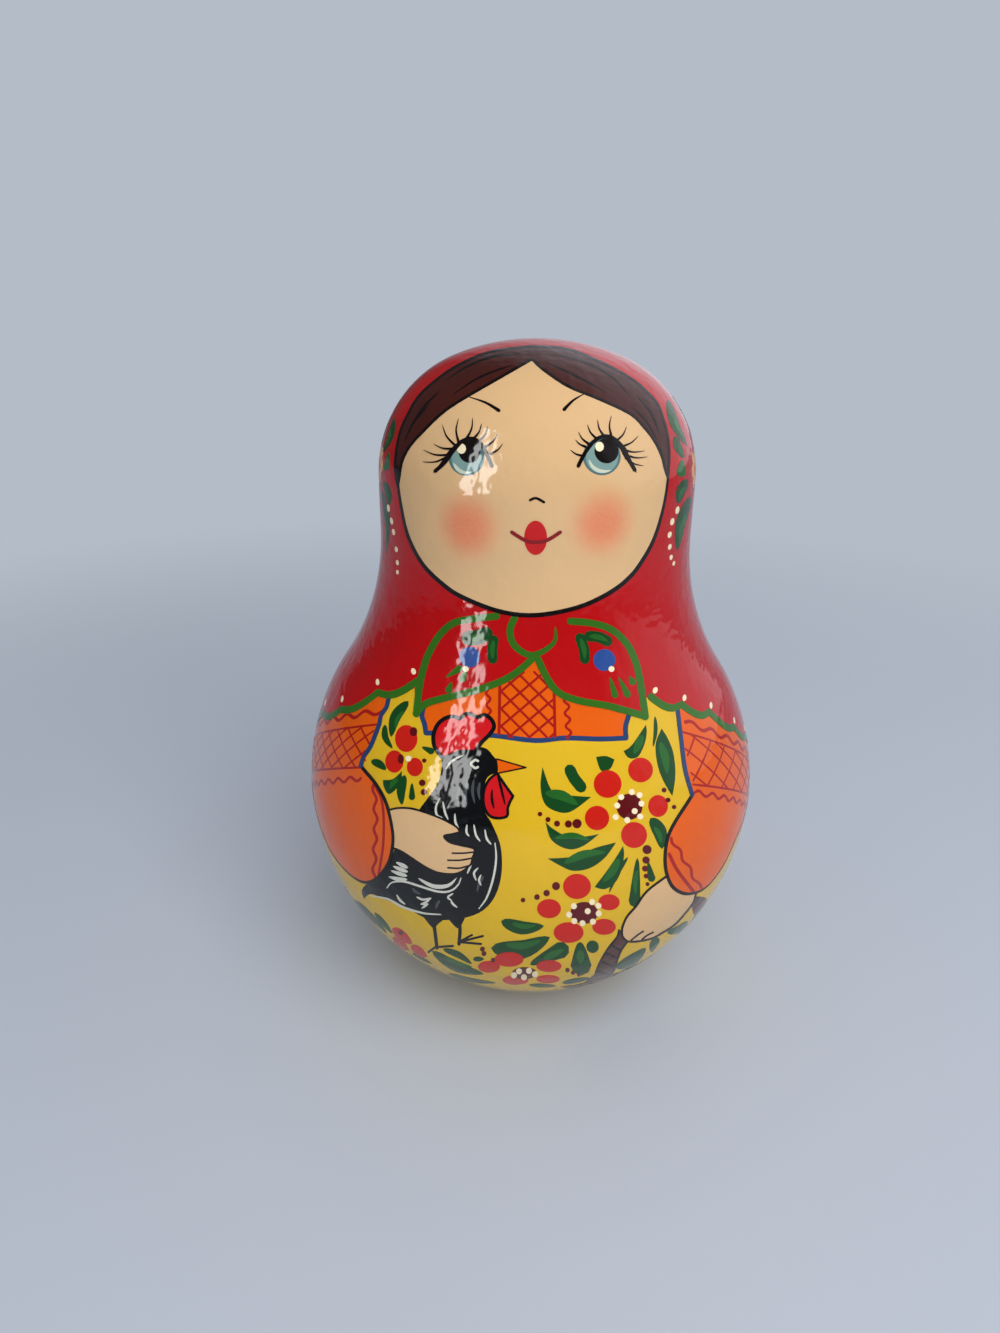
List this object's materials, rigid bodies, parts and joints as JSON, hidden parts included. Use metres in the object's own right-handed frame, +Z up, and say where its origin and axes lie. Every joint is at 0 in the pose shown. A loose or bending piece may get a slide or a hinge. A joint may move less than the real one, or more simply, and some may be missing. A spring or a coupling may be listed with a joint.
{
  "type": "roly-poly doll",
  "caption": "Painted wooden roly-poly doll: round-bottomed turned body with a low ballast that rights it and a swinging striker that rings chime rods inside.",
  "frame": {"origin": "middle of the small flat under the body, where the doll stands", "axes": "+Z up along the turning axis, -Y the way the face looks, +X to the right of someone who looks at the face"},
  "size_m": [0.11, 0.11, 0.1593],
  "materials": {
    "lacquered_wood": "turned lime wood, hand painted and glossy lacquered",
    "cast_iron": "rough casting",
    "plate_steel": "rolled strip and plate",
    "rod_steel": "drawn bright rod",
    "zinc_steel": "zinc plated",
    "striker_brass": "turned"
  },
  "bodies": {
    "body": {"lower_shell": "lacquered_wood", "upper_shell": "lacquered_wood", "ballast_weight": "cast_iron", "ballast_washer": "zinc_steel", "ballast_screw": "zinc_steel", "chime_plate": "plate_steel", "chime_rod_1": "rod_steel", "chime_rod_2": "rod_steel", "chime_rod_3": "rod_steel", "chime_rod_4": "rod_steel", "chime_rod_5": "rod_steel", "chime_rod_6": "rod_steel", "chime_rod_7": "rod_steel", "chime_rod_8": "rod_steel", "hanger_arch": "plate_steel", "arch_screw_left": "zinc_steel", "arch_screw_right": "zinc_steel", "hanger_eye": "zinc_steel", "hanger_nut": "zinc_steel"},
    "link": {"striker_link": "zinc_steel"},
    "striker": {"striker_stem": "zinc_steel", "striker_ball": "striker_brass"}
  },
  "joints": [
    {"name": "link_swing", "type": "hinge", "parent": "body", "child": "link", "pos_m": [0, 0, 0.0892], "axis": [1, 0, 0], "range_deg": [-11, 11]},
    {"name": "striker_swing", "type": "hinge", "parent": "link", "child": "striker", "pos_m": [0, 0, 0.0843], "axis": [0, 1, 0], "range_deg": [-11, 11]}
  ]
}
